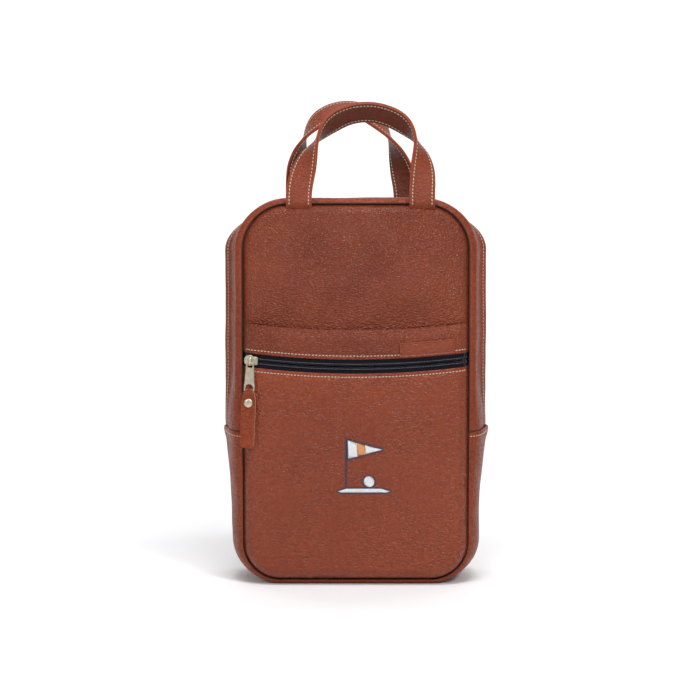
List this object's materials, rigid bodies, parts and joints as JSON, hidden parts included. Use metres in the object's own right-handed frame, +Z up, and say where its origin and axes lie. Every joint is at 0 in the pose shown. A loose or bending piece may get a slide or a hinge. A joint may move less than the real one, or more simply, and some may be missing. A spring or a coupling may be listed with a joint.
{
  "type": "golf shoe bag",
  "caption": "Upright rounded leather shoe bag with a zip-round main compartment, a zipped front pocket with a leather pull, and twin strap handles.",
  "frame": {"origin": "centre of the bag under its base, on the surface it stands on", "axes": "+Z up, +Y from the front pocket to the back, +X to the right seen from the front"},
  "size_m": [0.2586, 0.1261, 0.4714],
  "materials": {
    "tan_leather": "pebbled red-brown leather, soft sheen",
    "lining_fabric": "dark navy woven lining",
    "zip_tape": "dark navy woven zip tape",
    "zip_coil": "dark nylon coil",
    "pale_brass": "pale aged brass, worn",
    "embroidery_thread": "satin embroidery thread",
    "stiffener_board": "dark fibre board"
  },
  "bodies": {
    "bag_body": {"front_panel": "tan_leather", "back_panel": "tan_leather", "gusset_lower": "tan_leather", "gusset_strip_front": "tan_leather", "gusset_strip_back": "tan_leather", "pocket_front_panel": "tan_leather", "pocket_top_band": "tan_leather", "blank_label": "tan_leather", "lining_front": "lining_fabric", "lining_back": "lining_fabric", "lining_gusset": "lining_fabric", "lining_strip_front": "lining_fabric", "lining_strip_back": "lining_fabric", "pocket_lining": "lining_fabric", "front_seam_binding": "lining_fabric", "back_seam_binding": "lining_fabric", "base_board": "stiffener_board", "main_zip_tape_front": "zip_tape", "main_zip_tape_back": "zip_tape", "main_zip_coil_front": "zip_coil", "main_zip_coil_back": "zip_coil", "pocket_zip_tape_upper": "zip_tape", "pocket_zip_tape_lower": "zip_tape", "pocket_zip_coil_upper": "zip_coil", "pocket_zip_coil_lower": "zip_coil", "pocket_zip_end_stop": "pale_brass", "motif_flagpole": "embroidery_thread", "motif_pennant": "embroidery_thread", "motif_green": "embroidery_thread"},
    "pocket_slider_body": {"pocket_slider": "pale_brass"},
    "pocket_tab_body": {"pocket_tab": "pale_brass"},
    "pocket_pull_body": {"pocket_pull": "tan_leather", "pocket_rivet": "pale_brass"},
    "main_left_slider_body": {"main_left_slider": "pale_brass"},
    "main_left_tab_body": {"main_left_tab": "pale_brass"},
    "main_left_pull_body": {"main_left_pull": "tan_leather", "main_left_rivet": "pale_brass"},
    "main_right_slider_body": {"main_right_slider": "pale_brass"},
    "main_right_tab_body": {"main_right_tab": "pale_brass"},
    "main_right_pull_body": {"main_right_pull": "tan_leather", "main_right_rivet": "pale_brass"},
    "front_handle": {"front_handle_outer_ply": "tan_leather", "front_handle_inner_ply": "tan_leather"},
    "back_handle": {"back_handle_outer_ply": "tan_leather", "back_handle_inner_ply": "tan_leather"}
  },
  "joints": [
    {"name": "pocket_slider_travel", "type": "hinge", "parent": "bag_body", "child": "pocket_slider_body", "pos_m": [0, 0.38281, 0.57869], "axis": [0, -0.6404, 0.768], "range_deg": [0, 19.17]},
    {"name": "pocket_tab_hinge", "type": "hinge", "parent": "pocket_slider_body", "child": "pocket_tab_body", "pos_m": [-0.09986, -0.05728, 0.21445], "axis": [-0.9904, 0.1324, 0.0407], "range_deg": [0, 110]},
    {"name": "pocket_pull_hinge", "type": "hinge", "parent": "pocket_tab_body", "child": "pocket_pull_body", "pos_m": [-0.10097, -0.05733, 0.18767], "axis": [-0.9904, 0.1324, 0.0407], "range_deg": [0, 60]},
    {"name": "main_left_slider_travel", "type": "slide", "parent": "bag_body", "child": "main_left_slider_body", "axis": [-1, 0, 0], "range_m": [0, 0.041]},
    {"name": "main_left_tab_hinge", "type": "hinge", "parent": "main_left_slider_body", "child": "main_left_tab_body", "pos_m": [-0.0094, 0.0037, 0.36355], "axis": [0, 1, 0], "range_deg": [0, 100]},
    {"name": "main_left_pull_hinge", "type": "hinge", "parent": "main_left_tab_body", "child": "main_left_pull_body", "pos_m": [-0.0362, 0.0037, 0.36355], "axis": [0, 1, 0], "range_deg": [0, 60]},
    {"name": "main_right_slider_travel", "type": "slide", "parent": "bag_body", "child": "main_right_slider_body", "axis": [1, 0, 0], "range_m": [0, 0.041]},
    {"name": "main_right_tab_hinge", "type": "hinge", "parent": "main_right_slider_body", "child": "main_right_tab_body", "pos_m": [0.0094, 0.0037, 0.36355], "axis": [0, -1, 0], "range_deg": [0, 100]},
    {"name": "main_right_pull_hinge", "type": "hinge", "parent": "main_right_tab_body", "child": "main_right_pull_body", "pos_m": [0.0362, 0.0037, 0.36355], "axis": [0, -1, 0], "range_deg": [0, 60]},
    {"name": "front_handle_hinge", "type": "hinge", "parent": "bag_body", "child": "front_handle", "pos_m": [0.0045, -0.0481, 0.3666], "axis": [1, 0, 0], "range_deg": [-20, 135]},
    {"name": "back_handle_hinge", "type": "hinge", "parent": "bag_body", "child": "back_handle", "pos_m": [-0.0035, 0.0555, 0.3666], "axis": [1, 0, 0], "range_deg": [-135, 20]}
  ]
}
